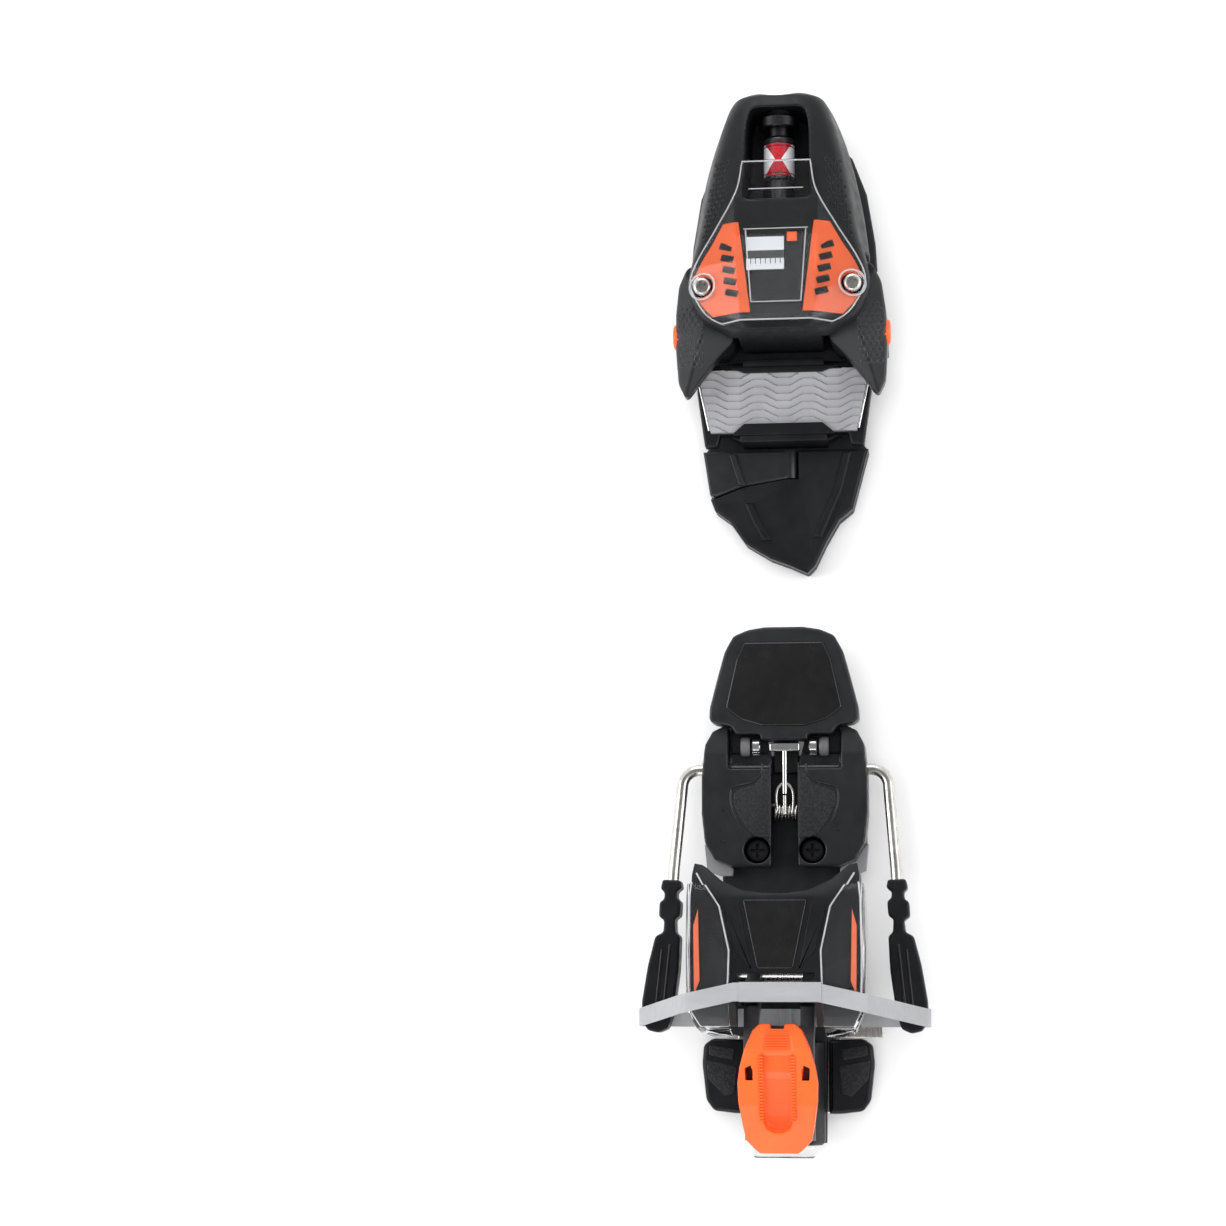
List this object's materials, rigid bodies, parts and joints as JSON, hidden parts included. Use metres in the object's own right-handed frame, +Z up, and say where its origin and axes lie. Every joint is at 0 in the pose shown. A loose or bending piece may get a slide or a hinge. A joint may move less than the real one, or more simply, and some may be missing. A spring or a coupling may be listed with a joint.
{
  "type": "alpine ski binding",
  "caption": "Alpine ski binding: toe unit with two sprung wings and gliding plate, and heel unit with cup, opening lever and ski brake on a length track.",
  "frame": {"origin": "centre of the toe unit's underside, where it rests on the ski", "axes": "+X to the ski tip, +Y to the skier's left, +Z up from the ski"},
  "size_m": [0.412, 0.1108, 0.0789],
  "materials": {
    "chassis_plastic": "moulded, fine grain",
    "black_plastic": "moulded, matte black",
    "satin_plastic": "satin black",
    "clear_plastic": "clear polycarbonate",
    "orange_plastic": "bright orange, satin",
    "grey_pad": "silver grey, low friction",
    "steel": "zinc plated",
    "dark_steel": "black phosphated",
    "aluminium": "grey anodised",
    "label": "printed white plate",
    "band_elastic": "translucent white elastic"
  },
  "bodies": {
    "toe_body": {"toe_base_plate": "chassis_plastic", "toe_chassis": "chassis_plastic", "housing_shell": "black_plastic", "clear_cover": "clear_plastic", "release_scale_plate": "label", "spring_barrel": "aluminium", "toe_release_spring": "dark_steel", "orange_insert_left": "orange_plastic", "orange_insert_right": "orange_plastic", "wing_pivot_screw_left": "steel", "wing_pivot_screw_right": "steel", "tail_plate": "black_plastic"},
    "toe_screw": {"toe_adjusting_screw": "dark_steel"},
    "indicator": {"release_indicator": "orange_plastic", "toe_release_nut": "aluminium"},
    "sled": {"wing_sled": "aluminium"},
    "left_wing": {"wing_left": "satin_plastic", "wing_button_left": "orange_plastic"},
    "right_wing": {"wing_right": "satin_plastic", "wing_button_right": "orange_plastic"},
    "glide_height": {"glide_carrier": "black_plastic"},
    "glide_plate": {"glide_tray": "black_plastic", "glide_pad": "grey_pad"},
    "flap": {"height_lever": "satin_plastic"},
    "track": {"heel_track": "steel"},
    "carriage": {"heel_carriage": "chassis_plastic", "brake_housing_left": "satin_plastic", "brake_housing_right": "satin_plastic", "housing_screw_left": "dark_steel", "housing_screw_right": "dark_steel", "brake_spring": "steel", "cup_axle": "steel", "heel_spring_case": "black_plastic", "heel_release_spring": "dark_steel", "heel_scale_window": "clear_plastic", "rear_pad_left": "black_plastic", "rear_pad_right": "black_plastic", "side_strip": "steel", "transport_band": "band_elastic"},
    "length_worm": {"length_screw": "dark_steel"},
    "heel_screw": {"heel_release_screw": "dark_steel"},
    "brake": {"brake_pad": "satin_plastic", "brake_link": "steel", "brake_roller_left": "steel", "brake_roller_right": "steel", "brake_arm_left": "steel", "brake_arm_right": "steel", "brake_paddle_left": "black_plastic", "brake_paddle_right": "black_plastic"},
    "cup": {"cup_housing": "black_plastic", "cup_cover_left": "clear_plastic", "cup_cover_right": "clear_plastic"},
    "lever": {"lever_arms": "aluminium", "lever_cap": "orange_plastic"}
  },
  "joints": [
    {"name": "left_wing_pivot", "type": "hinge", "parent": "toe_body", "child": "left_wing", "pos_m": [-0.006, 0.029, 0.025], "axis": [0, 0, -1], "range_deg": [0, 25], "stiffness_Nm_per_rad": 4},
    {"name": "right_wing_pivot", "type": "hinge", "parent": "toe_body", "child": "right_wing", "pos_m": [-0.006, -0.029, 0.025], "axis": [0, 0, 1], "range_deg": [0, 25], "stiffness_Nm_per_rad": 4},
    {"name": "sled_slide", "type": "slide", "parent": "toe_body", "child": "sled", "axis": [-1, 0, 0], "range_m": [0, 0.006]},
    {"name": "toe_screw_turn", "type": "hinge", "parent": "toe_body", "child": "toe_screw", "pos_m": [0.03, 0, 0.038], "axis": [1, 0, 0], "range_deg": [0, 1800]},
    {"name": "indicator_slide", "type": "slide", "parent": "toe_body", "child": "indicator", "axis": [1, 0, 0], "range_m": [0, 0.0037], "deforming": ["toe_release_spring"]},
    {"name": "flap_hinge", "type": "hinge", "parent": "toe_body", "child": "flap", "pos_m": [-0.068, -0.0015, 0.0088], "axis": [1, 0, 0], "range_deg": [0, 100]},
    {"name": "glide_height_slide", "type": "slide", "parent": "toe_body", "child": "glide_height", "axis": [0, 0, 1], "range_m": [0, 0.0019]},
    {"name": "glide_plate_slide", "type": "slide", "parent": "glide_height", "child": "glide_plate", "axis": [0, 1, 0], "range_m": [-0.008, 0.008], "stiffness_N_per_m": 400},
    {"name": "mounting_distance", "type": "slide", "parent": "toe_body", "child": "track", "axis": [-1, 0, 0], "range_m": [0, 0.14]},
    {"name": "length_adjust", "type": "slide", "parent": "track", "child": "carriage", "axis": [-1, 0, 0], "range_m": [-0.012, 0.012]},
    {"name": "length_screw_turn", "type": "hinge", "parent": "carriage", "child": "length_worm", "pos_m": [-0.316, 0, 0.0074], "axis": [1, 0, 0], "range_deg": [-1480, 1480]},
    {"name": "heel_screw_turn", "type": "hinge", "parent": "carriage", "child": "heel_screw", "pos_m": [-0.316, 0, 0.02], "axis": [1, 0, 0], "range_deg": [0, 1800]},
    {"name": "brake_hinge", "type": "hinge", "parent": "carriage", "child": "brake", "pos_m": [-0.1905, 0, 0.019], "axis": [0, -1, 0], "range_deg": [0, 55], "deforming": ["transport_band"]},
    {"name": "cup_hinge", "type": "hinge", "parent": "carriage", "child": "cup", "pos_m": [-0.272, 0, 0.034], "axis": [0, 1, 0], "range_deg": [0, 17]},
    {"name": "lever_hinge", "type": "hinge", "parent": "carriage", "child": "lever", "pos_m": [-0.272, 0, 0.034], "axis": [0, 1, 0], "range_deg": [0, 26]}
  ],
  "couplings": [
    {"joint": "sled_slide", "follows": "left_wing_pivot", "m_per_rad": 0.012605},
    {"joint": "indicator_slide", "follows": "toe_screw_turn", "m_per_rad": 0.00011459},
    {"joint": "flap_hinge", "follows": "glide_height_slide", "rad_per_m": 914},
    {"joint": "length_screw_turn", "follows": "length_adjust", "rad_per_m": 2094.4},
    {"joint": "lever_hinge", "follows": "cup_hinge", "ratio": 1.5}
  ]
}
